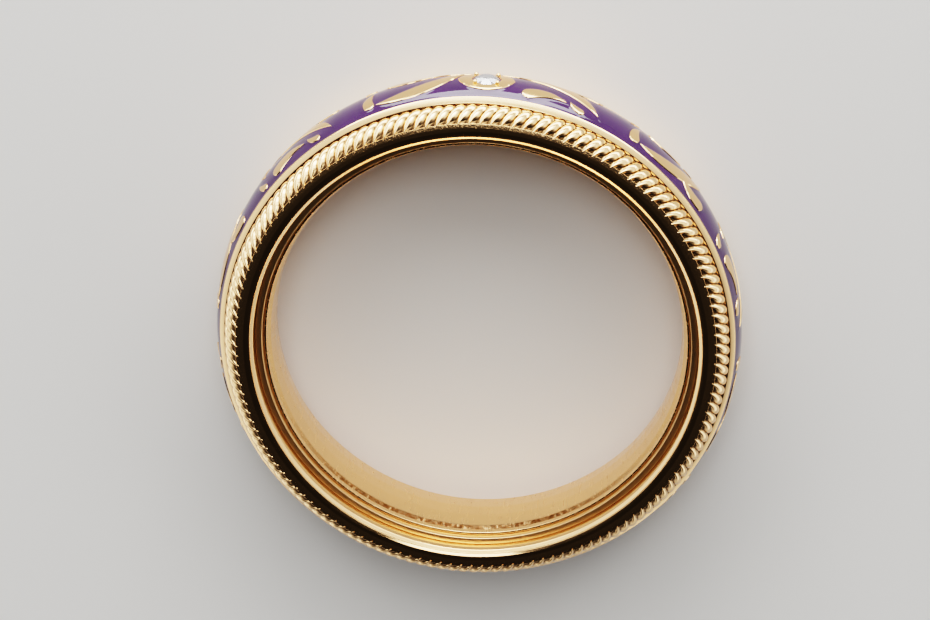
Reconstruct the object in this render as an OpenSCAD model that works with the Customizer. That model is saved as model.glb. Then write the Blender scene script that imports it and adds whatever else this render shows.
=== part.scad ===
// A finger ring that lies on its side, with a band that turns freely round it.
// The ring's axis is +Z, its front side is on top, and it rests on the back side at Z = 0.
// The stone of the band sits at +Y.

/* [Ring] */
// Radius of the finger hole at its narrowest
finger_r = 8.75; // [8.6:0.01:8.76]
// Width of the ring from side face to side face
ring_w = 5.2; // [5.2:0.05:5.4]
// Length of the straight stretch in the middle of the finger hole
finger_land = 0.8; // [0.6:0.1:1.2]

/* [Lining and running tube] */
// How much wider the finger hole is at its ends
flare = 0.28; // [0.2:0.01:0.3]
// Outer radius of the lining
lining_r = 9.10; // [9.08:0.01:9.14]
// Length of the lining
lining_w = 3.4; // [3.3:0.02:3.5]
// Outer radius of the running tube, which carries the band
running_r = 10.05; // [9.95:0.01:10.05]
// Radius of the tube's nose, on which a collar sits
nose_r = 9.43; // [9.4:0.01:9.47]
// Length of the tube with its noses
tube_w = 3.86; // [3.6:0.02:4.0]

/* [Collars] */
// Outer radius of a collar's front face
face_r = 10.24; // [10.2:0.01:10.26]
// Outer radius of the flange that keeps the band in place
flange_r = 10.60; // [10.5:0.01:10.64]
// Radius of the polished inner shoulder of a collar
shoulder_r = 0.44; // [0.3:0.02:0.46]

/* [Rope edges] */
// Radius of the rope edge's rounding over its ridges
rope_r = 0.83; // [0.78:0.01:0.84]
// Depth of the valleys between its ridges
valley = 0.12; // [0.04:0.01:0.14]
// Outer radius of the ring over a rope edge
rope_out_r = 10.78; // [10.74:0.01:10.82]
// Ridges round the ring
ridges = 142; // [120:1:150]

/* [Turning band] */
// Radius of the band at the crown of its dome
crown_r = 11.34; // [11.3:0.01:11.4]
// Radius of the dome across the band
dome_r = 3.35; // [2.9:0.05:3.6]
// Width of the band
band_w = 3.2; // [3.1:0.02:3.2]
// Width of the enamelled field between its rims
field_w = 2.74; // [2.5:0.02:2.8]
// Depth of the field below the dome
field_depth = 0.30; // [0.2:0.02:0.36]
// How far the leaves stand above the enamel
relief = 0.04; // [0.02:0.01:0.08]

/* [Stone] */
// Radius of the stone at its girdle
stone_r = 0.575; // [0.5:0.01:0.62]
// Height of the stone's table above the crown of the dome
stone_rise = 0.10; // [0.04:0.01:0.14]
// Length of the gold plate in which the stone is set, along the band
plate_l = 2.4; // [2.2:0.05:2.6]
// Width of that plate across the band
plate_w = 1.9; // [1.7:0.05:2.1]
// Radius of the grains that hold the stone
grain_r = 0.1; // [0.08:0.01:0.12]

/* [Hidden] */
$fn = 96;

// Gap between pieces that are fixed to each other, and running gap beside the band
fixed_gap = 0.02;
running_gap = 0.05;
// A cut runs this far past the surface that it goes through
past = 0.2;

half_w = ring_w / 2;
half_band = band_w / 2;
half_field = field_w / 2;
half_lining = lining_w / 2;
half_land = finger_land / 2;
// Width of the bevel that leads from the lining up to the nose's face
nose_bevel = 0.08;
// The collar's inner face, just beside the band
collar_in = half_band + running_gap;
band_bore_r = running_r + running_gap;

// The flare is an arc that leaves the straight stretch smoothly
flare_run = half_lining - half_land;
flare_r = (flare_run * flare_run + flare * flare) / (2 * flare);

// Thickness of the flange under the rope edge
flange_w = 0.13;

// The rope edge stands on the flange, against the wall of the collar's front face
rope_ring_r = rope_out_r - rope_r;
rope_at = collar_in + flange_w + fixed_gap;
rope_in_r = face_r + fixed_gap;
// Points round the rounding, and their spacing in degrees
rope_points = 5;
rope_step = 17.5;
// Depth at each point across a ridge as a share of the valley's: crest, flank, valley, flank
RIDGE = [0, 0.3, 1, 0.3];

// The stone's height is divided as in a round brilliant
table_r = 0.56 * stone_r;
stone_crown_h = 0.32 * stone_r;
stone_deep_h = 0.86 * stone_r;
table_at = crown_r + stone_rise;
girdle_at = table_at - stone_crown_h;
girdle_h = 0.03;
culet_at = girdle_at - girdle_h - stone_deep_h;
stone_at = 90;
// The grains stand round the stone and lean over its girdle
grains = 4;
grain_ring_r = stone_r + 0.085;

// The leaf pattern repeats round the band, every other time mirrored across it
repeats = 12;
repeat_deg = 360 / repeats;
// Depth to which leaves and plate are rooted below the dome
root = 0.6;
// A flame is a leaf with two points between two arcs: degrees along the repeat and place across
// the band of its chord's middle, heading of the chord in degrees, length of the chord, rise of
// the leaf's middle line over it and widest width.
// [along, across, heading, length, rise, width]
FLAMES = [
    [14.6,  0.02,   24, 4.10, 0.56, 0.70],
];
// A comma has a round head that runs out into a curved tail: degrees along the repeat and place
// across the band of its head, heading in degrees, radii of the head and of the arcs outside and
// inside the tail, and 1 where the tail curls clockwise or -1 where it curls the other way.
// [along, across, heading, head_r, outer_r, inner_r, curl]
COMMAS = [
    [ 5.4,  0.88,    8, 0.28, 1.35, 2.60,  1],
    [20.6, -0.82,  152, 0.31, 1.55, 2.90, -1],
    [25.8,  0.76,  -74, 0.25, 0.95, 2.20,  1],
    [ 9.0, -1.00,   12, 0.17, 0.60, 1.60, -1],
    [25.4, -1.00,   30, 0.17, 0.50, 1.40, -1],
];

// No comma starts nearer to the stone than this
free_r = 1.5;

// Distance round the band from the stone
function from_stone(along) = min(along, 360 - along) * PI / 180 * crown_r;
// Radius of the arc over a chord, from its length and rise
function arc_r(length, rise) = (length * length / 4 + rise * rise) / (2 * rise);

// Everything is drawn round the ring's middle plane and lifted to rest on Z = 0
module upright() {
    translate([0, 0, half_w]) children();
}

// Both sides of a profile that is drawn for the front side
module both_sides() {
    children();
    mirror([0, 1]) children();
}

// A place on the band: X runs round it, Y across it and Z outwards
module on_band(along, across) {
    rotate([0, 0, along]) translate([0, 0, half_w + across]) rotate([90, 0, 90]) children();
}

// The lining of the finger hole, straight in the middle and flared to both ends
module inner_sleeve() {
    color("gold") upright() rotate_extrude() {
        translate([finger_r, -half_land]) square([lining_r - finger_r, finger_land]);
        both_sides() intersection() {
            translate([finger_r + flare_r, half_land]) circle(r = flare_r);
            translate([finger_r, half_land]) square([lining_r - finger_r, flare_run]);
        }
    }
}

// The tube round the lining. The band runs on it, and a nose at each end carries a collar.
module running_tube() {
    tube_in_r = lining_r + fixed_gap;
    bevel_r = tube_in_r + nose_bevel;
    shoulder_at = collar_in - fixed_gap;
    bevel_at = half_lining + fixed_gap;
    nose_at = tube_w / 2;
    color("goldenrod") upright() rotate_extrude() polygon([
        [tube_in_r, -bevel_at],
        [bevel_r, -nose_at],
        [nose_r, -nose_at],
        [nose_r, -shoulder_at],
        [running_r, -shoulder_at],
        [running_r, shoulder_at],
        [nose_r, shoulder_at],
        [nose_r, nose_at],
        [bevel_r, nose_at],
        [tube_in_r, bevel_at],
    ]);
}

// Profile of the front collar: a flat face, a polished inner shoulder and the flange that
// carries the rope edge
module collar_profile() {
    in_r = nose_r + fixed_gap;
    difference() {
        union() {
            translate([in_r, collar_in]) square([face_r - in_r, half_w - collar_in]);
            translate([in_r, collar_in]) square([flange_r - in_r, flange_w]);
        }
        difference() {
            translate([in_r - past, half_w - shoulder_r]) square([shoulder_r + past, shoulder_r + past]);
            translate([in_r + shoulder_r, half_w - shoulder_r]) circle(r = shoulder_r);
        }
    }
}

module front_collar() {
    color("goldenrod") upright() rotate_extrude() collar_profile();
}

module back_collar() {
    color("goldenrod") upright() rotate_extrude() mirror([0, 1]) collar_profile();
}

// A rounded edge of twisted ridges, standing on its own flat bottom. Seen from the front, its
// ridges run clockwise from the inside of the ring to the outside.
module rope() {
    phases = len(RIDGE);
    rings = ridges * phases;
    sides = rope_points + 1;
    points = [
        for (ring = [0 : rings - 1], side = [0 : sides - 1])
            let (
                round_at = 360 * ring / rings,
                r = rope_r - valley * RIDGE[(ring + phases * sides - side) % phases],
                on_wall = side >= rope_points - 1,
                out = on_wall ? rope_in_r : rope_ring_r + r * cos(rope_step * side),
                at_bottom = side == 0 || side == sides - 1,
                up = at_bottom ? 0 : sqrt(r * r - pow(out - rope_ring_r, 2))
            )
            [out * cos(round_at), out * sin(round_at), up]
    ];
    triangles = [
        for (ring = [0 : rings - 1], side = [0 : sides - 1], half = [0, 1])
            let (
                next_ring = (ring + 1) % rings,
                next_side = (side + 1) % sides,
                a = ring * sides + side,
                b = ring * sides + next_side,
                c = next_ring * sides + next_side,
                d = next_ring * sides + side
            )
            half == 0 ? [a, c, d] : [a, b, c]
    ];
    polyhedron(points = points, faces = triangles);
}

module front_rope() {
    color("gold") upright() translate([0, 0, rope_at]) rope();
}

module back_rope() {
    color("gold") upright() mirror([0, 0, 1]) translate([0, 0, rope_at]) rope();
}

// The part of the band's section under a dome that lies lower than the crown by drop
module dome_profile(drop, in_r, half) {
    intersection() {
        translate([crown_r - dome_r, 0]) circle(r = dome_r - drop);
        translate([in_r, -half]) square([crown_r - in_r, 2 * half]);
    }
}

// Outline of a flame, its chord centred on X and rising to +Y, wider by grow on every side
module flame_outline(length, rise, width, grow) {
    outer_rise = rise + width / 2;
    inner_rise = rise - width / 2;
    difference() {
        translate([0, outer_rise - arc_r(length, outer_rise)]) circle(r = arc_r(length, outer_rise) + grow);
        translate([0, inner_rise - arc_r(length, inner_rise)]) circle(r = arc_r(length, inner_rise) - grow);
    }
}

// Outline of a comma, its head at the origin and its tail towards +X and -Y, wider by grow
module comma_outline(head_r, outer_r, inner_r, grow) {
    circle(r = head_r + grow);
    difference() {
        intersection() {
            translate([0, head_r - outer_r]) circle(r = outer_r + grow);
            translate([0, -2 * outer_r]) square([2 * outer_r, 4 * outer_r]);
        }
        translate([0, -head_r - inner_r]) circle(r = inner_r - grow);
    }
}

// An outline as a prism on the band, from its root to past the dome
module prism(along, across) {
    on_band(along, across) translate([0, 0, crown_r - root]) linear_extrude(root + past) children();
}

// All leaves, and the pointed oval plate of the stone, as prisms
module leaf_prisms(grow) {
    for (repeat = [0 : repeats - 1]) {
        side = repeat % 2 == 0 ? 1 : -1;
        start = repeat * repeat_deg;
        for (f = FLAMES) {
            prism(stone_at + start + f[0], side * f[1]) mirror([0, (1 - side) / 2]) rotate(f[2])
                flame_outline(f[3], f[4], f[5], grow);
        }
        for (c = COMMAS) {
            if (norm([from_stone(start + c[0]), c[1]]) > free_r) {
                prism(stone_at + start + c[0], side * c[1]) mirror([0, (1 - side) / 2]) rotate(c[2])
                    mirror([0, (1 - c[6]) / 2]) comma_outline(c[3], c[4], c[5], grow);
            }
        }
    }
    plate_r = arc_r(plate_l, plate_w / 2);
    prism(stone_at, 0) intersection() {
        translate([0, plate_r - plate_w / 2]) circle(r = plate_r + grow);
        translate([0, plate_w / 2 - plate_r]) circle(r = plate_r + grow);
    }
}

// The seat of the stone, open from below its point to past the dome
module stone_seat() {
    bottom_at = culet_at - fixed_gap;
    on_band(stone_at, 0) translate([0, 0, bottom_at])
        cylinder(r = stone_r + fixed_gap, h = table_at + past - bottom_at);
}

// Small gold grains round the stone
module stone_grains() {
    for (grain = [0 : grains - 1]) {
        on_band(stone_at, 0) rotate(360 * (grain + 0.5) / grains)
            translate([grain_ring_r, 0, crown_r]) sphere(r = grain_r, $fn = 32);
    }
}

// The gold band with its rims, the raised leaves and the plate with the grains
module spinner_band() {
    color("gold") {
        difference() {
            union() {
                upright() rotate_extrude() {
                    difference() {
                        dome_profile(0, band_bore_r, half_band);
                        difference() {
                            translate([crown_r - dome_r, -half_field]) square([dome_r + past, field_w]);
                            translate([crown_r - dome_r, 0]) circle(r = dome_r - field_depth);
                        }
                    }
                }
                intersection() {
                    upright() rotate_extrude() dome_profile(0, band_bore_r, half_band);
                    leaf_prisms(0);
                }
            }
            stone_seat();
        }
        stone_grains();
    }
}

// The enamel that fills the field between rims, leaves and plate
module enamel() {
    color("indigo") difference() {
        upright() rotate_extrude() difference() {
            dome_profile(relief, band_bore_r, half_field - fixed_gap);
            translate([crown_r - dome_r, 0]) circle(r = dome_r - field_depth + fixed_gap);
        }
        leaf_prisms(fixed_gap);
    }
}

// A round brilliant, its table outwards
module diamond() {
    color("azure") on_band(stone_at, 0) hull() {
        translate([0, 0, table_at]) linear_extrude(0.001) circle(r = table_r, $fn = 8);
        translate([0, 0, girdle_at - girdle_h]) linear_extrude(girdle_h) circle(r = stone_r, $fn = 16);
        translate([0, 0, culet_at]) linear_extrude(0.001) circle(r = girdle_h, $fn = 8);
    }
}

inner_sleeve();
running_tube();
front_collar();
back_collar();
front_rope();
back_rope();
spinner_band();
enamel();
diamond();
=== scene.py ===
"""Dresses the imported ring: polished and satin gold, purple enamel between raised leaves, ridged
rope edges and a small brilliant, on a pale floor under soft studio light."""
import math

import bpy
from mathutils import Matrix, Vector


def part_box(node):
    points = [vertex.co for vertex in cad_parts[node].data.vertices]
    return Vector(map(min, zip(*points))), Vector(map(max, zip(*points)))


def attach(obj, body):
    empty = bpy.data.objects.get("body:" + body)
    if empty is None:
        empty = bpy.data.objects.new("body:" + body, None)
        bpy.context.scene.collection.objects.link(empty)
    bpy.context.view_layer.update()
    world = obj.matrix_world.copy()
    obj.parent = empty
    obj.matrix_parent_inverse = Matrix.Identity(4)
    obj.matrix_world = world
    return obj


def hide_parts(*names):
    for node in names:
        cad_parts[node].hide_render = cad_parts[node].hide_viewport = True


bl_info = {
    "name": "Spinner ring",
    "version": (1, 0, 0),
    "blender": (4, 5, 0),
    "location": "3D View > Sidebar > Ring",
    "description": "Models the pieces of a spinner ring round its packed solids",
    "category": "Add Mesh",
}

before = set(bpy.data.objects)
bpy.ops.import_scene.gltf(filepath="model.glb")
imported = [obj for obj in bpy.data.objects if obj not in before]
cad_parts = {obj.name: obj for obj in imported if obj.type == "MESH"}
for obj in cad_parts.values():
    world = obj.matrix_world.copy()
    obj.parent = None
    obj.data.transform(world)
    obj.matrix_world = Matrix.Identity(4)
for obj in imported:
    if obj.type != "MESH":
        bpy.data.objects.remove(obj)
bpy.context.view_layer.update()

MM = 0.001
BODY = "ring_body"
BAND = "turning_band"

# Widths that the solids give, in millimetres


def width_of(node):
    """How wide a solid is along the ring's axis."""
    low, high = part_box(node)
    return (high.z - low.z) / MM


HALF_W = (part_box("back_collar")[0].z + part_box("front_collar")[1].z) / MM / 2
HALF_BAND = width_of("spinner_band") / 2
HALF_LINING = width_of("inner_sleeve") / 2
HALF_TUBE = width_of("running_tube") / 2

# The construction's sizes, in millimetres, as the solids have them
FINGER_R = 8.75
LINING_R = 9.10
RUNNING_R = 10.05
NOSE_R = 9.43
FACE_R = 10.24
FLANGE_R = 10.60
FLANGE_W = 0.13
SHOULDER_W = 0.44
ROPE_R = 0.83
ROPE_OUT_R = 10.78
RIDGES = 142
CROWN_R = 11.34
DOME_R = 3.35
HALF_FIELD = 1.37
FIELD_DEPTH = 0.30
RELIEF = 0.04
STONE_R = 0.575
STONE_RISE = 0.10
PLATE_L = 2.4
PLATE_W = 1.9
PLATE_DEPTH = 0.5
GRAIN_R = 0.1
GRAINS = 4
FIXED_GAP = 0.02
RUNNING_GAP = 0.05

# The ridges of the rope edges run out to pointed tips here, in the bevel of the collar's face
TIP_R = 10.16
# A ridge's arc spans this share of the width between its two valleys
RIDGE_CHORD = 0.92
# The ridges narrow from this share of their length. Their tips have these shares of a ridge's
# height and width, fall off this much sooner to both sides, and lie this far aside
RIDGE_TAPER = 0.62
TIP_HEIGHT = 0.5
TIP_WIDTH = 0.2
TIP_STEEPER = 0.2
TIP_ASIDE = 0.45
# The tips stay this much lower than the face
TIP_DEPTH = 0.004
# Width of the seat of the rope edges, behind their tips
ROPE_SEAT_W = 0.4
# The face's outer edge is bevelled over this width and depth
BEVEL_W = 0.10
BEVEL_DEPTH = 0.033
# The satin reaches down to this depth, past the bevel
SATIN_DEPTH = 0.08
# The chamfer of the band's rims, and how far from the field their tops follow the dome
RIM_CHAMFER = 0.13
RIM_TOP_IN = 0.05
# The enamel stays off the rim by a hair, so the two surfaces never coincide
ENAMEL_GAP = 0.002
COLLAR_IN = HALF_BAND + RUNNING_GAP
BORE_R = RUNNING_R + RUNNING_GAP
# Where the ridges begin, just outside the flange's inner side
ROPE_FOOT = COLLAR_IN + 0.02
ROPE_RING_R = ROPE_OUT_R - ROPE_R
ROPE_AT = COLLAR_IN + FLANGE_W + FIXED_GAP
ROPE_IN_R = FACE_R + FIXED_GAP
DOME_AXIS_R = CROWN_R - DOME_R
STONE_AT = 90.0
# The cut of the stone, as shares of its radius, and its girdle's width in millimetres
CROWN_SHARE = 0.32
TABLE_SHARE = 0.56
PAVILION_SHARE = 0.86
LOWER_SHARE = 0.25
GIRDLE_W = 0.03
# How far the star facets reach from the table towards the girdle, as a share of the way
STAR_SHARE = 0.5
FACETS = 8
FACET_DEG = 360 / FACETS
GIRDLE_AT = CROWN_R + STONE_RISE - CROWN_SHARE * STONE_R
GRAIN_RING_R = STONE_R + 0.085
# The room bored for the stone: its radius, and the length and middle of the bore
SEAT_R = STONE_R + 0.05
SEAT_L = 1.2
SEAT_AT = CROWN_R - 0.02
REPEATS = 12
REPEAT_DEG = 360 / REPEATS
# No comma stands nearer to the stone than this
FREE_R = 1.5

# The finger hole's flare, from its nearly upright lip to the straight bore:
# [out from the bore, down from the lining's end, rounding]
FLARE = [
    [0.235, 0.0, 0.03],
    [0.215, 0.24, 0.03],
    [0.095, 0.46, 0.25],
    [0.0, 1.30, 2.0],
]
# The collar's shoulder, steep inside and nearly flat outside, with a chamfer and a fine turned
# line between: [out from the seam, down from the face, rounding]
SHOULDER = [
    [0.0, 0.45, 0.30],
    [0.05, 0.22, 0.06],
    [0.17, 0.135, 0.02],
    [0.18, 0.075, 0.02],
    [0.30, 0.015, 0.20],
]

# The leaves of one repeat, in degrees along the band and millimetres, as in the solids:
# [along, across, heading, length, rise, width]
FLAMES = [
    [14.6, 0.02, 24, 4.10, 0.56, 0.70],
]
# [along, across, heading, head_r, outer_r, inner_r, curl]
COMMAS = [
    [5.4, 0.88, 8, 0.28, 1.35, 2.60, 1],
    [20.6, -0.82, 152, 0.31, 1.55, 2.90, -1],
    [25.8, 0.76, -74, 0.25, 0.95, 2.20, 1],
    [9.0, -1.00, 12, 0.17, 0.60, 1.60, -1],
    [25.4, -1.00, 30, 0.17, 0.50, 1.40, -1],
]

# Resolution of the meshes
RING_STEPS = 360
ENAMEL_STEPS = 1200
ENAMEL_ROWS = 44
UNDER_ROWS = 2
FIELD_ROWS = 8
ARC_STEPS = 5
LEAF_ROWS = 26
LEAF_COLUMNS = 8
PLATE_STEPS = 96
PLATE_ROWS = 8
SEAT_STEPS = 48
GRAIN_STEPS = 24
GRAIN_ROWS = 14
BLANK_STEPS = 64
RIDGE_COLUMNS = 8
RIDGE_ROWS = 16
FLOOR_CUTS = 3
MERGE = 0.0005 * MM

# Radius of the rounding on the leaves' upper edges
LEAF_EDGE_R = 0.035
# The enamel's surface is marked with its distance to gold up to this far
MENISCUS = 0.16
# No leaf reaches further round the band from its own place than this, in radians
LEAF_REACH = 0.4


def linear(hex_colour):
    """The linear RGB of an sRGB hex colour."""
    values = [int(hex_colour[i:i + 2], 16) / 255 for i in (1, 3, 5)]
    return [v / 12.92 if v <= 0.04045 else ((v + 0.055) / 1.055) ** 2.4 for v in values]


class RingSizes(bpy.types.PropertyGroup):
    """Sizes that a user would change."""

    ridge_depth: bpy.props.FloatProperty(
        name="Ridge depth",
        description="Depth of the valleys between the ridges of the rope edges",
        default=0.13 * MM,
        unit="LENGTH",
    )
    ridge_lean: bpy.props.FloatProperty(
        name="Ridge lean",
        description="How many ridges further round a ridge ends than it begins",
        default=1.15,
    )
    seam_w: bpy.props.FloatProperty(
        name="Seam",
        description="Width of the seams between pieces that are fixed to each other",
        default=0.02 * MM,
        unit="LENGTH",
    )


class RingColours(bpy.types.PropertyGroup):
    """Colours that a user would change."""

    gold: bpy.props.FloatVectorProperty(
        name="Gold",
        description="Colour of the 18 carat yellow gold",
        subtype="COLOR",
        default=linear("#F6C791"),
    )
    # The darker colour below is painted shade for the valleys of the rope edges, where shade falls
    # between the ridges
    painted_valley_shade: bpy.props.FloatVectorProperty(
        name="Painted valley shade",
        description="Colour of the gold at the bottom of the valleys of the rope edges",
        subtype="COLOR",
        default=linear("#3A2208"),
    )
    enamel: bpy.props.FloatVectorProperty(
        name="Enamel",
        description="Colour of the vitreous enamel",
        subtype="COLOR",
        default=linear("#2C0A3B"),
    )
    floor: bpy.props.FloatVectorProperty(
        name="Floor",
        description="Colour of the floor",
        subtype="COLOR",
        default=linear("#E6E4E0"),
    )


# Small helpers for modelling


def deselect():
    """Nothing is selected, so the next operator acts on its own piece only."""
    if bpy.context.object and bpy.context.object.mode != "OBJECT":
        bpy.ops.object.mode_set(mode="OBJECT")
    bpy.ops.object.select_all(action="DESELECT")


def activate(piece):
    """Makes a piece the one selected and active object."""
    deselect()
    piece.select_set(True)
    bpy.context.view_layer.objects.active = piece


def edit(piece):
    """Opens a piece in edit mode with all of it selected."""
    activate(piece)
    bpy.ops.object.mode_set(mode="EDIT")
    bpy.ops.mesh.select_mode(type="VERT")
    bpy.ops.mesh.select_all(action="SELECT")


def close_up(piece):
    """Merges doubles, turns the faces outwards and leaves edit mode."""
    bpy.ops.mesh.select_all(action="SELECT")
    bpy.ops.mesh.remove_doubles(threshold=MERGE)
    bpy.ops.mesh.normals_make_consistent(inside=False)
    bpy.ops.object.mode_set(mode="OBJECT")
    piece.data.update()


def smooth(piece, angle=32):
    """Shades a piece smooth, except over edges sharper than the angle."""
    activate(piece)
    bpy.ops.object.shade_smooth_by_angle(angle=math.radians(angle))


def join(pieces, name):
    """Joins pieces into the first one and names it."""
    activate(pieces[0])
    for piece in pieces:
        piece.select_set(True)
    bpy.ops.object.join()
    pieces[0].name = name
    return pieces[0]


def finish_piece(piece, material, body, slot, *nodes):
    """Gives a piece its material and its body, and hides the solids that it stands for. The slot is
    not used.
    """
    piece.data.materials.clear()
    piece.data.materials.append(material)
    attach(piece, body)
    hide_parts(*nodes)


# Outlines, as (radius, height above the ring's middle plane) in millimetres


def arc(centre, radius, start, end, steps):
    """Points of an arc from one angle to another, in degrees."""
    angles = [math.radians(start + (end - start) * i / steps) for i in range(steps + 1)]
    return [(centre[0] + radius * math.cos(a), centre[1] + radius * math.sin(a)) for a in angles]


def rounded(corners):
    """An outline whose corners (radius, height, rounding) are rounded, or kept where it is 0."""
    outline = []
    for i, (x, y, rounding) in enumerate(corners):
        here = Vector((x, y))
        before = Vector(corners[i - 1][:2]) - here
        after = Vector(corners[(i + 1) % len(corners)][:2]) - here
        if rounding == 0:
            outline.append((x, y))
            continue
        half = before.angle(after) / 2
        back = rounding / math.tan(half)
        middle = (before.normalized() + after.normalized()).normalized()
        centre = here + middle * rounding / math.sin(half)
        first = here + before.normalized() * back - centre
        last = here + after.normalized() * back - centre
        turn = first.angle_signed(last)
        for step in range(ARC_STEPS + 1):
            spoke = first.copy()
            spoke.rotate(Matrix.Rotation(-turn * step / ARC_STEPS, 2))
            outline.append(tuple(centre + spoke))
    return outline


def both_sides(half):
    """A whole outline from its front half, whose first and last points lie on the middle plane."""
    return half + [(x, -y) for x, y in reversed(half[1:-1])]


def lathe(name, outline, steps=RING_STEPS):
    """Spins a closed outline round the ring's axis."""
    deselect()
    bpy.ops.mesh.primitive_plane_add(size=MM, location=(0, 0, 0))
    piece = bpy.context.object
    piece.name = name
    edit(piece)
    bpy.ops.mesh.merge(type="CENTER")
    places = [Vector((r, 0, HALF_W + z)) * MM for r, z in outline]
    bpy.ops.transform.translate(value=places[0])
    for here, there in zip(places, places[1:] + places[:1]):
        bpy.ops.mesh.extrude_region_move(TRANSFORM_OT_translate={"value": there - here})
    bpy.ops.mesh.select_all(action="SELECT")
    bpy.ops.mesh.spin(steps=steps, angle=2 * math.pi, center=(0, 0, 0), axis=(0, 0, 1))
    close_up(piece)
    return piece


# The dome and the leaves on it


def dome_at(across, drop=0.0):
    """Radius of the dome at a place across the band, lower by drop along its own normal."""
    return DOME_AXIS_R + math.sqrt(max(0.0, (DOME_R - drop) ** 2 - across ** 2))


def arc_r(length, rise):
    """Radius of the arc over a chord."""
    return (length * length / 4 + rise * rise) / (2 * rise)


class Flame:
    """A leaf with two points between two arcs over one chord."""

    def __init__(self, row):
        self.along, self.across, self.heading, length, rise, width = row
        self.curl = 1
        self.start, self.end = -length / 2, length / 2
        self.outer_r = arc_r(length, rise + width / 2)
        self.inner_r = arc_r(length, rise - width / 2)
        self.outer_y = rise + width / 2 - self.outer_r
        self.inner_y = rise - width / 2 - self.inner_r

    def span(self, x):
        """The lowest and the highest place across the leaf at x along it."""
        low = self.inner_y + math.sqrt(self.inner_r ** 2 - x * x)
        high = self.outer_y + math.sqrt(self.outer_r ** 2 - x * x)
        return low, high

    def distance(self, x, y):
        """Distance to the leaf's outline, less than 0 inside it."""
        outer = math.hypot(x, y - self.outer_y) - self.outer_r
        inner = self.inner_r - math.hypot(x, y - self.inner_y)
        return max(outer, inner)


class Comma:
    """A leaf with a round head that runs out into a curved tail."""

    def __init__(self, row):
        self.along, self.across, self.heading = row[:3]
        self.head_r, self.outer_r, self.inner_r, self.curl = row[3:]
        self.outer_y = self.head_r - self.outer_r
        self.inner_y = -self.head_r - self.inner_r
        gap = self.outer_y - self.inner_y
        squares = self.outer_r ** 2 - self.inner_r ** 2
        tip_y = (squares - self.outer_y ** 2 + self.inner_y ** 2) / (-2 * gap)
        self.start = -self.head_r
        self.end = math.sqrt(self.outer_r ** 2 - (tip_y - self.outer_y) ** 2)

    def span(self, x):
        """The lowest and the highest place across the leaf at x along it."""
        if x <= 0:
            half = math.sqrt(max(0.0, self.head_r ** 2 - x * x))
            return -half, half
        low = self.inner_y + math.sqrt(self.inner_r ** 2 - x * x)
        high = self.outer_y + math.sqrt(max(0.0, self.outer_r ** 2 - x * x))
        return low, high

    def distance(self, x, y):
        """Distance to the leaf's outline, less than 0 inside it."""
        outer = math.hypot(x, y - self.outer_y) - self.outer_r
        inner = self.inner_r - math.hypot(x, y - self.inner_y)
        head = math.hypot(x, y) - self.head_r
        return min(head, max(outer, inner, -x))


LEAVES = [Flame(row) for row in FLAMES] + [Comma(row) for row in COMMAS]


def from_stone(along):
    """Distance round the band from the stone, in millimetres."""
    along = along % 360
    return math.radians(min(along, 360 - along)) * CROWN_R


def repeats_of(leaf):
    """The repeats in which a leaf stands: a comma stays clear of the stone's plate."""
    return [
        repeat
        for repeat in range(REPEATS)
        if isinstance(leaf, Flame)
        or math.hypot(from_stone(repeat * REPEAT_DEG + leaf.along), leaf.across) > FREE_R
    ]


def leaf_to_band(leaf, x, y):
    """Turns a place on a leaf into one beside the leaf's own place on the band."""
    turn = math.radians(leaf.heading)
    y *= leaf.curl
    return math.cos(turn) * x - math.sin(turn) * y, math.sin(turn) * x + math.cos(turn) * y


def band_to_leaf(leaf, x, y):
    """Turns a place beside a leaf's own place on the band into one on the leaf."""
    turn = math.radians(leaf.heading)
    return (
        math.cos(turn) * x + math.sin(turn) * y,
        (math.cos(turn) * y - math.sin(turn) * x) * leaf.curl,
    )


def on_dome(along, beside, across, drop):
    """Place on the band, beside a radius at along degrees, across from the middle plane."""
    out = dome_at(across, drop)
    angle = math.radians(along) + math.asin(beside / out)
    return Vector((out * math.cos(angle), out * math.sin(angle), HALF_W + across)) * MM


def edge_drop(inside):
    """How much lower than the dome a leaf is, so near its edge, where the edge is rounded."""
    if inside >= LEAF_EDGE_R:
        return 0.0
    away = 1 - max(0.0, inside) / LEAF_EDGE_R
    return LEAF_EDGE_R * (1 - math.sqrt(max(0.0, 1 - away * away)))


def eased(share):
    """Crowds evenly spaced shares from 0 to 1 towards both ends."""
    return (1 - math.cos(math.pi * share)) / 2


def model_leaf(leaf):
    """One leaf of the first repeat: a grid laid between its outlines on the dome, with walls."""
    deselect()
    bpy.ops.mesh.primitive_grid_add(x_subdivisions=LEAF_ROWS, y_subdivisions=LEAF_COLUMNS, size=2)
    piece = bpy.context.object
    for vertex in piece.data.vertices:
        along = leaf.start + (leaf.end - leaf.start) * eased((vertex.co.x + 1) / 2)
        low, high = leaf.span(along)
        across = low + (high - low) * eased((vertex.co.y + 1) / 2)
        drop = edge_drop(-leaf.distance(along, across))
        beside, off = leaf_to_band(leaf, along, across)
        vertex.co = on_dome(STONE_AT + leaf.along, beside, leaf.across + off, drop)
    share = 1 - FIELD_DEPTH / CROWN_R
    extrude_rims(piece, (share, share, 1))
    bpy.ops.mesh.edge_face_add()
    close_up(piece)
    return piece


def extrude_rims(piece, scale):
    """Extrudes the open edges of a sheet on the dome inwards, scaled about the ring's centre."""
    edit(piece)
    bpy.ops.mesh.remove_doubles(threshold=MERGE)
    bpy.ops.mesh.select_mode(type="EDGE")
    bpy.ops.mesh.select_all(action="DESELECT")
    bpy.ops.mesh.select_non_manifold()
    bpy.ops.mesh.extrude_region_move()
    bpy.ops.transform.resize(value=scale, center_override=(0, 0, 0))


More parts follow.
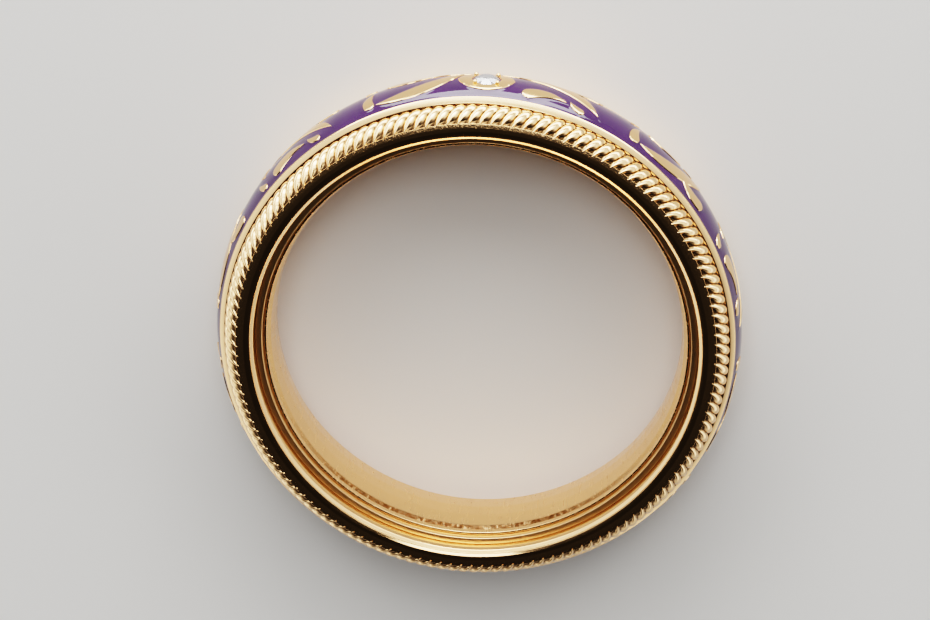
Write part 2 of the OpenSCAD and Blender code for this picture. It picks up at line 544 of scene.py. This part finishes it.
def copy_piece(piece, matrix):
    """A copy of a piece with its own mesh, moved by a matrix."""
    copy = piece.copy()
    copy.data = piece.data.copy()
    copy.data.transform(matrix)
    if matrix.determinant() < 0:
        copy.data.flip_normals()
    bpy.context.scene.collection.objects.link(copy)
    return copy


def across_mirror():
    """Mirrors across the ring's middle plane."""
    up = Matrix.Translation((0, 0, HALF_W * MM))
    return up @ Matrix.Diagonal((1, 1, -1, 1)) @ up.inverted()


def model_leaves():
    """Every leaf of the band, each shape modelled once and copied to its repeats."""
    pieces = []
    for leaf in LEAVES:
        first = model_leaf(leaf)
        for repeat in repeats_of(leaf):
            matrix = Matrix.Rotation(math.radians(repeat * REPEAT_DEG), 4, "Z")
            if repeat % 2:
                matrix = matrix @ across_mirror()
            pieces.append(copy_piece(first, matrix))
        bpy.data.objects.remove(first)
    return pieces


# The stone's plate


def plate_edge(angle):
    """Distance from the stone's axis to the edge of its pointed oval plate."""
    radius = arc_r(PLATE_L, PLATE_W / 2)
    down = radius - PLATE_W / 2
    slope = abs(math.sin(angle))
    return -down * slope + math.sqrt((down * slope) ** 2 + radius ** 2 - down ** 2)


def plate_distance(x, y):
    """Distance to the plate's outline, less than 0 inside it."""
    radius = arc_r(PLATE_L, PLATE_W / 2)
    return math.hypot(x, abs(y) + radius - PLATE_W / 2) - radius


def model_plate():
    """The pointed oval plate round the stone: a grid bent to a ring between seat and edge."""
    deselect()
    bpy.ops.mesh.primitive_grid_add(x_subdivisions=PLATE_STEPS, y_subdivisions=PLATE_ROWS, size=2)
    piece = bpy.context.object
    seat_r = STONE_R + FIXED_GAP
    for vertex in piece.data.vertices:
        angle = (vertex.co.x + 1) * math.pi
        edge = plate_edge(angle)
        out = seat_r + (edge - seat_r) * eased((vertex.co.y + 1) / 2)
        x, y = out * math.cos(angle), out * math.sin(angle)
        # The edge at the seat is rounded more tightly than the outer one
        drop = edge_drop(min(edge - out, 1.5 * (out - seat_r)))
        vertex.co = on_dome(STONE_AT, x, y, drop)
    extrude_rims(piece, (1, 1 - PLATE_DEPTH / CROWN_R, 1))
    bpy.ops.mesh.bridge_edge_loops()
    close_up(piece)
    return piece


def model_grains():
    """The small gold grains round the stone."""
    pieces = []
    for grain in range(GRAINS):
        angle = 2 * math.pi * (grain + 0.5) / GRAINS
        beside, across = GRAIN_RING_R * math.cos(angle), GRAIN_RING_R * math.sin(angle)
        place = Vector((-beside, CROWN_R, HALF_W + across)) * MM
        deselect()
        bpy.ops.mesh.primitive_uv_sphere_add(
            segments=GRAIN_STEPS, ring_count=GRAIN_ROWS, radius=GRAIN_R * MM, location=place
        )
        piece = bpy.context.object
        bpy.ops.object.transform_apply(location=True, rotation=True, scale=True)
        pieces.append(piece)
    return pieces


# Materials


def add_node(tree, kind, attributes=None, inputs=None):
    """Adds a node, sets its attributes, and sets or links its inputs."""
    node = tree.nodes.new(kind)
    for name, value in (attributes or {}).items():
        setattr(node, name, value)
    for key, value in (inputs or {}).items():
        if isinstance(value, bpy.types.NodeSocket):
            tree.links.new(value, node.inputs[key])
        else:
            node.inputs[key].default_value = value
    return node


def new_material(name):
    """An empty material with its node tree."""
    material = bpy.data.materials.new(name)
    material.use_nodes = True
    material.node_tree.nodes.clear()
    return material, material.node_tree


def object_place(tree, squash=1.0):
    """Places in the object's own frame, drawn out along the ring's axis where squash is under 1."""
    place = add_node(tree, "ShaderNodeTexCoord").outputs["Object"]
    if squash == 1.0:
        return place
    inputs = {"Vector": place, "Scale": (1, 1, squash)}
    return add_node(tree, "ShaderNodeMapping", None, inputs).outputs["Vector"]


def noise(tree, place, scale, detail):
    """A cloudy pattern between 0 and 1."""
    inputs = {"Vector": place, "Scale": scale, "Detail": detail}
    return add_node(tree, "ShaderNodeTexNoise", None, inputs).outputs["Fac"]


def map_range(tree, value, low, high, to_low, to_high, kind="LINEAR"):
    """Maps low to to_low and high to to_high."""
    inputs = {
        "Value": value,
        "From Min": low,
        "From Max": high,
        "To Min": to_low,
        "To Max": to_high,
    }
    node = add_node(tree, "ShaderNodeMapRange", {"interpolation_type": kind}, inputs)
    return node.outputs["Result"]


def bump(tree, height, strength, distance):
    """Raises the surface by a pattern, over a distance in millimetres."""
    inputs = {"Height": height, "Strength": strength, "Distance": distance * MM}
    return add_node(tree, "ShaderNodeBump", None, inputs).outputs["Normal"]


def mark_on(tree, name):
    """The value that a mesh stores under a name."""
    return add_node(tree, "ShaderNodeAttribute", {"attribute_name": name}).outputs["Fac"]


def mix(tree, share, colour, other):
    """Goes from one colour to another with share."""
    inputs = {"Factor": share, "A": (*colour, 1), "B": (*other, 1)}
    return add_node(tree, "ShaderNodeMix", {"data_type": "RGBA"}, inputs).outputs["Result"]


def surface(tree, inputs):
    """The principled shader with these inputs, as the material's surface."""
    shader = add_node(tree, "ShaderNodeBsdfPrincipled", None, inputs).outputs["BSDF"]
    add_node(tree, "ShaderNodeOutputMaterial", None, {"Surface": shader})


def polished_gold(
    name, colour, roughness=0.09, wear=0.05, haze_scale=900.0, squash=1.0, painted_valley_shade=None
):
    """18 carat yellow gold, machine polished: a warm mirror with faint polishing haze and
    hairlines, and, where a colour for painted shade is given, painted shade darkening the valleys
    that the mesh marks."""
    material, tree = new_material(name)
    place = object_place(tree, squash)
    haze = noise(tree, place, haze_scale, 3.0)
    # Hairlines from wear, 0.02 mm apart, drawn at 0.05 mm so that they show
    hairs = noise(tree, place, 20000.0, 2.0)
    # Painted shade: the valleys that the mesh marks are mixed towards the darker colour
    shade = (*colour, 1) if painted_valley_shade is None else mix(tree, mark_on(tree, "valley"), colour, painted_valley_shade)
    surface(tree, {
        "Base Color": shade,
        "Metallic": 1.0,
        "Roughness": map_range(tree, haze, 0.35, 0.7, roughness, roughness + wear),
        "Normal": bump(tree, hairs, 0.06, 0.01),
    })
    return material


def satin_gold(name, colour, roughness, grain):
    """The same gold, matted by fine abrasive: a grain that scatters light."""
    material, tree = new_material(name)
    # Grit marks 0.05 mm across, drawn at 0.08 mm so that they show
    grit = noise(tree, object_place(tree), 12000.0, 4.0)
    surface(tree, {
        "Base Color": (*colour, 1),
        "Metallic": 1.0,
        "Roughness": roughness,
        "Normal": bump(tree, grit, grain, 0.03),
    })
    return material


def vitreous_enamel(colour):
    """Purple vitreous enamel, fired and polished: deep violet glass with a bright gloss, which
    draws up a little where it meets gold."""
    material, tree = new_material("Purple vitreous enamel")
    draw_up = map_range(tree, mark_on(tree, "to_gold"), 0.0, 1.0, 1.0, 0.0, "SMOOTHSTEP")
    cloud = noise(tree, object_place(tree), 1200.0, 3.0)
    deep, pale = [c * 0.7 for c in colour], [min(1.0, c * 1.35) for c in colour]
    surface(tree, {
        "Base Color": mix(tree, cloud, deep, pale),
        "Metallic": 0.0,
        "Roughness": 0.05,
        "IOR": 1.5,
        "Normal": bump(tree, draw_up, 0.3, RELIEF),
    })
    return material


def cut_diamond():
    """Diamond, cut and polished: clear, with the high index that makes it flash."""
    material, tree = new_material("Brilliant-cut diamond")
    surface(tree, {
        "Base Color": (1, 1, 1, 1),
        "Roughness": 0.0,
        "IOR": 2.417,
        # The rest stands for light that the facets below throw back
        "Transmission Weight": 0.85,
    })
    return material


def paper_floor(colour):
    """Pale matt background card, with a barely uneven tone."""
    material, tree = new_material("Pale background card")
    cloud = noise(tree, object_place(tree), 40.0, 2.0)
    surface(tree, {
        "Base Color": mix(tree, cloud, [c * 0.97 for c in colour], colour),
        "Roughness": 0.9,
        "Specular IOR Level": 0.2,
    })
    return material


# Operators, one for each piece or group of like pieces


class RING_OT_lining(bpy.types.Operator):
    """Models the lining of the finger hole, which flares to a rounded lip at both ends"""

    bl_idname = "ring.lining"
    bl_label = "Lining"

    def execute(self, context):
        half = rounded([
            (LINING_R, 0.0, 0),
            (LINING_R, HALF_LINING, 0.03),
            *[(FINGER_R + out, HALF_LINING - down, rounding) for out, down, rounding in FLARE],
            (FINGER_R, 0.0, 0),
        ])
        piece = lathe("lining", both_sides(half))
        smooth(piece)
        # Wear draws scratches across the lining, 0.03 mm apart, shown at 0.12 mm
        material = polished_gold(
            "Worn polished gold",
            context.scene.ring_colours.gold,
            roughness=0.1,
            wear=0.22,
            haze_scale=8000.0,
            squash=0.1,
        )
        finish_piece(piece, material, BODY, "lining_gold", "inner_sleeve")
        return {"FINISHED"}


class RING_OT_tube(bpy.types.Operator):
    """Models the running tube, whose noses show between the lining and the collars"""

    bl_idname = "ring.tube"
    bl_label = "Running tube"

    def execute(self, context):
        tube_in = LINING_R + FIXED_GAP
        shoulder = COLLAR_IN - FIXED_GAP
        half = rounded([
            (tube_in, 0.0, 0),
            (RUNNING_R, 0.0, 0),
            (RUNNING_R, shoulder, 0.02),
            (NOSE_R, shoulder, 0.0),
            (NOSE_R, HALF_TUBE, 0.02),
            (tube_in + 0.05, HALF_TUBE, 0.03),
            (tube_in, HALF_LINING + FIXED_GAP, 0.02),
        ])
        piece = lathe("running_tube_dressed", both_sides(half[1:] + half[:1]))
        smooth(piece)
        material = satin_gold("Brushed 18 carat gold", context.scene.ring_colours.gold, 0.28, 0.5)
        finish_piece(piece, material, BODY, "polished_gold", "running_tube")
        return {"FINISHED"}


class RING_OT_collars(bpy.types.Operator):
    """Models the two collars with their satin face and polished shoulder"""

    bl_idname = "ring.collars"
    bl_label = "Collars"

    def execute(self, context):
        colours = context.scene.ring_colours
        in_r = NOSE_R + context.scene.ring_sizes.seam_w / MM
        flange_top = COLLAR_IN + FLANGE_W
        outline = rounded([
            (in_r, COLLAR_IN, 0),
            *[(in_r + out, HALF_W - down, rounding) for out, down, rounding in SHOULDER],
            (in_r + SHOULDER_W, HALF_W, 0),
            (TIP_R - BEVEL_W, HALF_W, 0.05),
            (FACE_R, HALF_W - BEVEL_DEPTH, 0.01),
            (FACE_R, flange_top, 0),
            (FLANGE_R, flange_top, 0.02),
            (FLANGE_R, COLLAR_IN, 0.02),
        ])
        front = lathe("front_collar_dressed", outline)
        back = copy_piece(front, across_mirror())
        back.name = "back_collar_dressed"
        polished = polished_gold("Polished collar gold", colours.gold, 0.1, 0.06)
        satin = satin_gold("Satin 18 carat gold", colours.gold, 0.22, 0.4)
        for piece, node in ((front, "front_collar"), (back, "back_collar")):
            smooth(piece)
            finish_piece(piece, polished, BODY, "satin_gold", node)
            piece.data.materials.append(satin)
            for face in piece.data.polygons:
                out = math.hypot(face.center.x, face.center.y) / MM
                aside = abs(face.center.z / MM - HALF_W)
                on_side = aside > HALF_W - SATIN_DEPTH and in_r + SHOULDER_W < out < FACE_R
                face.material_index = 1 if on_side else 0
        return {"FINISHED"}


class RING_OT_ropes(bpy.types.Operator):
    """Models the two rope edges: one ridge, copied all round"""

    bl_idname = "ring.ropes"
    bl_label = "Rope edges"

    def execute(self, context):
        colours = context.scene.ring_colours
        # The rope gold gets painted shade in its valleys
        material = polished_gold(
            "Polished rope gold", colours.gold, roughness=0.13, painted_valley_shade=colours.painted_valley_shade
        )
        front = self.model(context.scene.ring_sizes)
        back = copy_piece(front, across_mirror())
        for piece, name, node in (
            (front, "front_rope_edge", "front_rope"),
            (back, "back_rope_edge", "back_rope"),
        ):
            piece.name = name
            smooth(piece, 40)
            finish_piece(piece, material, BODY, "polished_gold", node)
        return {"FINISHED"}

    def model(self, sizes):
        """The front edge: a grid bent to one ridge and its flat sides, copied all round. Each
        vertex stores how far it lies in a valley, as the mask for the painted shade: 1 at the
        bottom, and less beside a tip."""
        corners = [
            (TIP_R, ROPE_AT + ROPE_SEAT_W),
            (ROPE_IN_R, ROPE_AT + ROPE_SEAT_W),
            (ROPE_IN_R, ROPE_AT),
            (FLANGE_R + FIXED_GAP, ROPE_AT),
            (FLANGE_R + FIXED_GAP, ROPE_FOOT),
        ]
        rows = RIDGE_ROWS + len(corners) + 1
        deselect()
        bpy.ops.mesh.primitive_grid_add(
            x_subdivisions=RIDGE_COLUMNS, y_subdivisions=rows, size=2
        )
        piece = bpy.context.object
        pitch = 2 * math.pi / RIDGES
        depth = sizes.ridge_depth / MM
        valley = piece.data.attributes.new("valley", "FLOAT", "POINT")
        for vertex, mark in zip(piece.data.vertices, valley.data):
            share = (vertex.co.x + 1) / 2
            column = round(share * RIDGE_COLUMNS)
            row = round((vertex.co.y + 1) / 2 * rows)
            along = row / RIDGE_ROWS
            if column in (0, RIDGE_COLUMNS):
                mark.value = 1.0
            elif column in (1, RIDGE_COLUMNS - 1) and row <= RIDGE_ROWS:
                mark.value = self.taper(along)
            if row in (0, rows):
                lean = 0.0
                share, out, up = self.on_ridge(share, 0.0, depth)
            elif row <= RIDGE_ROWS:
                lean = sizes.ridge_lean * along
                share, out, up = self.on_ridge(share, along, depth)
            else:
                lean = sizes.ridge_lean
                out, up = corners[row - RIDGE_ROWS - 1]
            angle = (share + lean) * pitch
            vertex.co = Vector((out * math.cos(angle), out * math.sin(angle), HALF_W + up)) * MM
        edit(piece)
        bpy.ops.mesh.spin(
            steps=RIDGES - 1,
            angle=2 * math.pi - pitch,
            dupli=True,
            center=(0, 0, 0),
            axis=(0, 0, 1),
        )
        close_up(piece)
        return piece

    def taper(self, along):
        """How far a ridge has narrowed: 0 on its body and 1 at its tip."""
        return max(0.0, (along - RIDGE_TAPER) / (1 - RIDGE_TAPER))

    def on_ridge(self, share, along, depth):
        """Place on a ridge: share runs over it from valley to valley, along from foot to tip."""
        first = math.asin((ROPE_FOOT - ROPE_AT) / ROPE_R)
        last = math.acos((TIP_R - ROPE_RING_R) / ROPE_R)
        turn = first + (last - first) * along
        # A ridge is an arc over the chord between its two valleys, here a little shortened
        half_chord = math.pi * ROPE_OUT_R / RIDGES * RIDGE_CHORD
        side = 2 * share - 1
        # It narrows over its last part, where the valleys beside it come up
        narrow = self.taper(along)
        ridge_r = arc_r(2 * half_chord, depth * (1 - (1 - TIP_HEIGHT) * narrow))
        off = half_chord * max(-1.0, min(1.0, side * (1 + TIP_STEEPER * narrow)))
        out = ROPE_R - ridge_r + math.sqrt(ridge_r ** 2 - off ** 2)
        if 0 < share < 1:
            share = (1 + side * (1 - (1 - TIP_WIDTH) * narrow) + TIP_ASIDE * narrow) / 2
        up = min(ROPE_AT + out * math.sin(turn), HALF_W - TIP_DEPTH)
        return share, max(TIP_R, ROPE_RING_R + out * math.cos(turn)), up


class RING_OT_band(bpy.types.Operator):
    """Models the turning band with its rims, raised leaves, plate and grains"""

    bl_idname = "ring.band"
    bl_label = "Turning band"

    def execute(self, context):
        floor_r = DOME_R - FIELD_DEPTH
        floor_edge = math.degrees(math.asin(HALF_FIELD / floor_r))
        chamfer_in = HALF_BAND - RIM_CHAMFER
        rim_in = HALF_FIELD + RIM_TOP_IN
        half = rounded([
            (BORE_R, 0.0, 0),
            (BORE_R, HALF_BAND, 0.05),
            (dome_at(HALF_BAND) - RIM_CHAMFER, HALF_BAND, 0.06),
            (dome_at(chamfer_in), chamfer_in, 0.03),
            (dome_at(rim_in), rim_in, 0),
            (dome_at(HALF_FIELD), HALF_FIELD, 0.03),
            (dome_at(HALF_FIELD, FIELD_DEPTH), HALF_FIELD, 0),
        ])
        half += arc((DOME_AXIS_R, 0), floor_r, floor_edge, 0, FIELD_ROWS)[1:]
        band = lathe("band_base", both_sides(half))
        self.cut_seat(band)
        pieces = [band] + model_leaves() + [model_plate()] + model_grains()
        piece = join(pieces, "gold_band")
        smooth(piece)
        material = polished_gold("Polished band gold", context.scene.ring_colours.gold)
        finish_piece(piece, material, BAND, "polished_gold", "spinner_band")
        return {"FINISHED"}

    def cut_seat(self, band):
        """Bores the room for the stone's lower half into the band."""
        deselect()
        bpy.ops.mesh.primitive_cylinder_add(
            vertices=SEAT_STEPS,
            radius=SEAT_R * MM,
            depth=SEAT_L * MM,
            location=(0, SEAT_AT * MM, HALF_W * MM),
            rotation=(math.pi / 2, 0, 0),
        )
        cutter = bpy.context.object
        bpy.ops.object.transform_apply(location=True, rotation=True, scale=True)
        activate(band)
        cut = band.modifiers.new("seat", "BOOLEAN")
        cut.operation = "DIFFERENCE"
        cut.solver = "EXACT"
        cut.object = cutter
        bpy.ops.object.modifier_apply(modifier="seat")
        bpy.data.objects.remove(cutter)


class RING_OT_enamel(bpy.types.Operator):
    """Models the enamel between the rims, and marks on it how near gold is"""

    bl_idname = "ring.enamel"
    bl_label = "Enamel"

    def execute(self, context):
        top_r = DOME_R - RELIEF
        low_r = DOME_R - FIELD_DEPTH + FIXED_GAP
        side = HALF_FIELD - ENAMEL_GAP
        top = math.degrees(math.asin(side / top_r))
        low = math.degrees(math.asin(side / low_r))
        outline = arc((DOME_AXIS_R, 0), top_r, top, -top, ENAMEL_ROWS)
        outline += arc((DOME_AXIS_R, 0), low_r, -low, low, UNDER_ROWS)
        piece = lathe("enamel_glaze", outline, ENAMEL_STEPS)
        self.mark(piece)
        smooth(piece)
        material = vitreous_enamel(context.scene.ring_colours.enamel)
        finish_piece(piece, material, BAND, "purple_enamel", "enamel")
        return {"FINISHED"}

    def mark(self, piece):
        """Stores each vertex's distance to the nearest gold: 0 at it, and 1 well away from it."""
        attribute = piece.data.attributes.new("to_gold", "FLOAT", "POINT")
        for vertex, mark in zip(piece.data.vertices, attribute.data):
            place = vertex.co / MM
            out = math.hypot(place.x, place.y)
            across = place.z - HALF_W
            along = (math.degrees(math.atan2(place.y, place.x)) - STONE_AT) % 360
            near = min(
                HALF_FIELD - abs(across),
                self.to_leaves(along, across, out),
                self.to_plate(along, across, out),
            )
            mark.value = max(0.0, min(1.0, near / MENISCUS))

    def to_leaves(self, along, across, out):
        """Distance to the nearest leaf."""
        near = MENISCUS
        here = int(along // REPEAT_DEG)
        for repeat in (here - 1, here, here + 1):
            mirror = -1 if repeat % 2 else 1
            for leaf in LEAVES:
                if repeat % REPEATS not in repeats_of(leaf):
                    continue
                turn = math.radians(along - repeat * REPEAT_DEG - leaf.along)
                if abs(turn) > LEAF_REACH:
                    continue
                x, y = band_to_leaf(leaf, out * math.sin(turn), across * mirror - leaf.across)
                near = min(near, leaf.distance(x, y))
        return near

    def to_plate(self, along, across, out):
        """Distance to the stone's plate."""
        if from_stone(along) > PLATE_L:
            return MENISCUS
        return plate_distance(out * math.sin(math.radians(along)), across)


class RING_OT_stone(bpy.types.Operator):
    """Cuts the brilliant out of a round blank, facet by facet"""

    bl_idname = "ring.stone"
    bl_label = "Stone"

    def execute(self, context):
        radius = STONE_R * MM
        girdle = GIRDLE_W * MM
        table_h = CROWN_SHARE * radius
        table_r = TABLE_SHARE * radius
        deep = PAVILION_SHARE * radius
        deselect()
        bpy.ops.mesh.primitive_cylinder_add(
            vertices=BLANK_STEPS, radius=radius, depth=4 * radius
        )
        piece = bpy.context.object
        piece.name = "brilliant"
        edit(piece)

        def at(angle, out, height):
            """A place at an angle round the stone's axis, in degrees."""
            turn = math.radians(angle)
            return Vector((out * math.cos(turn), out * math.sin(turn), height))

        def cut(a, b, c, up):
            """Cuts the stone off at the plane through three places, which faces up or down."""
            normal = (b - a).cross(c - a).normalized()
            if normal.z * up < 0:
                normal.negate()
            bpy.ops.mesh.select_all(action="SELECT")
            bpy.ops.mesh.bisect(
                plane_co=a,
                plane_no=normal,
                use_fill=True,
                clear_outer=True,
                threshold=MERGE / 10,
            )

        slope = table_h / (radius - table_r)
        star_r = table_r + STAR_SHARE * (radius - table_r)
        half = FACET_DEG / 2
        half_turn = math.radians(half)
        star_h = (radius - star_r * math.cos(half_turn)) * slope
        low_slope = deep / radius
        low_r = LOWER_SHARE * radius
        low_h = -(radius - low_r * math.cos(half_turn)) * low_slope - girdle
        cut(at(0, 1, table_h), at(120, 1, table_h), at(240, 1, table_h), 1)
        for facet in range(FACETS):
            mid = FACET_DEG * facet
            edge = at(mid, radius, 0)
            beside = at(mid + 90, radius, 0)
            cut(edge, edge + beside, at(mid, table_r, table_h), 1)
            table_edge = at(mid, table_r, table_h), at(mid + FACET_DEG, table_r, table_h)
            cut(*table_edge, at(mid + half, star_r, star_h), 1)
            below = edge - Vector((0, 0, girdle))
            cut(below, below + beside, Vector((0, 0, -deep - girdle)), -1)
            for side in (-half, half):
                star = at(mid + side, star_r, star_h)
                half_edge = at(mid + side, radius, 0)
                cut(star, edge, half_edge, 1)
                low = at(mid + side, low_r, low_h)
                cut(low, below, half_edge - Vector((0, 0, girdle)), -1)
        close_up(piece)
        lay_down = Matrix.Rotation(-math.pi / 2, 4, "X")
        piece.data.transform(Matrix.Translation((0, GIRDLE_AT * MM, HALF_W * MM)) @ lay_down)
        finish_piece(piece, cut_diamond(), BAND, "clear_stone", "diamond")
        return {"FINISHED"}


# Camera, as fitted to the photograph: turned and raised from the ring's axis, and rolled, in
# degrees, and its distance and shift in units of the radius that the fit used
VIEW_TURN = 3.66
VIEW_RAISE = 22.78
VIEW_ROLL = 1.66
VIEW_UNIT = 10.9
VIEW_DISTANCE = 15.54 * VIEW_UNIT
VIEW_OFF = (0.0444 * VIEW_UNIT, -0.1252 * VIEW_UNIT)
# The distance is measured from a point on the axis, this far above the ring's middle plane
VIEW_RISE = 1.63
# Focal length and width of the photograph, in pixels
FOCAL_PX = 3972
PHOTO_PX = 930
# Width of the sensor and focal length, in millimetres
SENSOR = 36
LENS = FOCAL_PX / PHOTO_PX * SENSOR
# The way that the light tent's dark front lies from the ring
TENT_FRONT = (0.0, -0.39, 0.92)
# How bright the tent is, and between which cosines to its front it goes dark
TENT_BRIGHT = 1.1
TENT_DARK = 0.012
TENT_EDGE = (0.3, 0.62)

# A light whose target lies at this height faces straight up
UP = 1.0
# Lights: [name, place, target, width, height, watts], in metres
LIGHTS = [
    ["back_box", (0, 0.20, 0.085), (0, 0, 0), 0.34, 0.15, 0.22],
    ["stone_strip", (-0.006, 0.15, 0.026), (0, 0, 0), 0.09, 0.04, 0.079],
    ["back_strip", (0, 0.019, 0.0003), (0, 0.019, UP), 0.10, 0.007, 0.009],
    ["left_sheet", (-0.038, -0.002, 0.0003), (-0.038, -0.002, UP), 0.035, 0.06, 0.0066],
    ["right_sheet", (0.038, -0.002, 0.0003), (0.038, -0.002, UP), 0.035, 0.06, 0.0066],
    ["top_box", (0, 0.14, 0.24), (0, 0, 0), 0.12, 0.12, 0.12],
]


class RING_OT_stage(bpy.types.Operator):
    """Sets up the floor, the soft lights and the camera"""

    bl_idname = "ring.stage"
    bl_label = "Stage"

    def execute(self, context):
        self.floor(context)
        for row in LIGHTS:
            self.light(*row)
        self.tent(context)
        self.camera(context)
        settings = context.scene.view_settings
        settings.view_transform = "Filmic"
        settings.look = "High Contrast"
        settings.exposure = 0.8
        return {"FINISHED"}

    def tent(self, context):
        """Soft light all round but for a dark front, which the ring's side mirrors."""
        world = bpy.data.worlds.new("Light tent")
        world.use_nodes = True
        tree = world.node_tree
        tree.nodes.clear()
        ray = add_node(tree, "ShaderNodeTexCoord").outputs["Generated"]
        inputs = {0: ray, 1: TENT_FRONT}
        front = add_node(tree, "ShaderNodeVectorMath", {"operation": "DOT_PRODUCT"}, inputs)
        level = map_range(
            tree, front.outputs["Value"], *TENT_EDGE, TENT_BRIGHT, TENT_DARK, "SMOOTHSTEP"
        )
        back = add_node(tree, "ShaderNodeBackground", None, {"Strength": level})
        add_node(tree, "ShaderNodeOutputWorld", None, {"Surface": back.outputs["Background"]})
        context.scene.world = world

    def floor(self, context):
        """A wide plain card that the ring lies on."""
        deselect()
        bpy.ops.mesh.primitive_plane_add(size=2.0, location=(0, 0, 0))
        floor = bpy.context.object
        floor.name = "floor"
        edit(floor)
        bpy.ops.mesh.subdivide(number_cuts=FLOOR_CUTS)
        bpy.ops.object.mode_set(mode="OBJECT")
        floor.data.materials.append(paper_floor(context.scene.ring_colours.floor))

    def light(self, name, place, target, width, height, power):
        """A soft box that faces its target, and that the camera doesn't see."""
        deselect()
        bpy.ops.object.light_add(type="AREA", location=place)
        light = bpy.context.object
        light.name = name
        light.data.shape = "RECTANGLE"
        light.data.size, light.data.size_y = width, height
        light.data.energy = power
        light.visible_camera = False
        way = Vector(target) - Vector(place)
        light.rotation_euler = way.to_track_quat("-Z", "Y").to_euler()

    def camera(self, context):
        """The photograph's view of the ring, with the stone's side up."""
        turn, lift = math.radians(VIEW_TURN), math.radians(VIEW_RAISE)
        flat = math.cos(lift)
        back = Vector((math.sin(turn) * flat, math.sin(lift), math.cos(turn) * flat))
        right = Vector((0, 1, 0)).cross(back).normalized()
        up = back.cross(right)
        place = back * VIEW_DISTANCE - right * VIEW_OFF[0] - up * VIEW_OFF[1]
        place += Vector((0, 0, HALF_W + VIEW_RISE))
        data = bpy.data.cameras.new("photo_view")
        data.sensor_width = SENSOR
        data.lens = LENS
        data.clip_start = 0.01
        data.clip_end = 10
        camera = bpy.data.objects.new("photo_view", data)
        context.scene.collection.objects.link(camera)
        turned = Matrix((right, up, back)).transposed().to_4x4()
        roll = Matrix.Rotation(math.radians(VIEW_ROLL), 4, "Z")
        camera.matrix_world = roll @ Matrix.Translation(place * MM) @ turned
        context.scene.camera = camera


class RING_PT_panel(bpy.types.Panel):
    """Lists the ring's pieces, sizes and colours"""

    bl_label = "Spinner ring"
    bl_idname = "RING_PT_panel"
    bl_space_type = "VIEW_3D"
    bl_region_type = "UI"
    bl_category = "Ring"

    def draw(self, context):
        sizes = context.scene.ring_sizes
        colours = context.scene.ring_colours
        for name in ("ridge_depth", "ridge_lean", "seam_w"):
            self.layout.prop(sizes, name)
        for name in ("gold", "painted_valley_shade", "enamel", "floor"):
            self.layout.prop(colours, name)
        for operator in PIECE_OPERATORS:
            self.layout.operator(operator.bl_idname)


PIECE_OPERATORS = (
    RING_OT_lining,
    RING_OT_tube,
    RING_OT_collars,
    RING_OT_ropes,
    RING_OT_band,
    RING_OT_enamel,
    RING_OT_stone,
    RING_OT_stage,
)
CLASSES = (RingSizes, RingColours, *PIECE_OPERATORS, RING_PT_panel)


def register():
    for cls in CLASSES:
        bpy.utils.register_class(cls)
    bpy.types.Scene.ring_sizes = bpy.props.PointerProperty(type=RingSizes)
    bpy.types.Scene.ring_colours = bpy.props.PointerProperty(type=RingColours)


def unregister():
    del bpy.types.Scene.ring_colours
    del bpy.types.Scene.ring_sizes
    for cls in reversed(CLASSES):
        bpy.utils.unregister_class(cls)


def main():
    """Makes every piece in order."""
    register()
    bpy.ops.ring.lining()
    bpy.ops.ring.tube()
    bpy.ops.ring.collars()
    bpy.ops.ring.ropes()
    bpy.ops.ring.band()
    bpy.ops.ring.enamel()
    bpy.ops.ring.stone()
    bpy.ops.ring.stage()


if __name__ == "__main__":
    main()
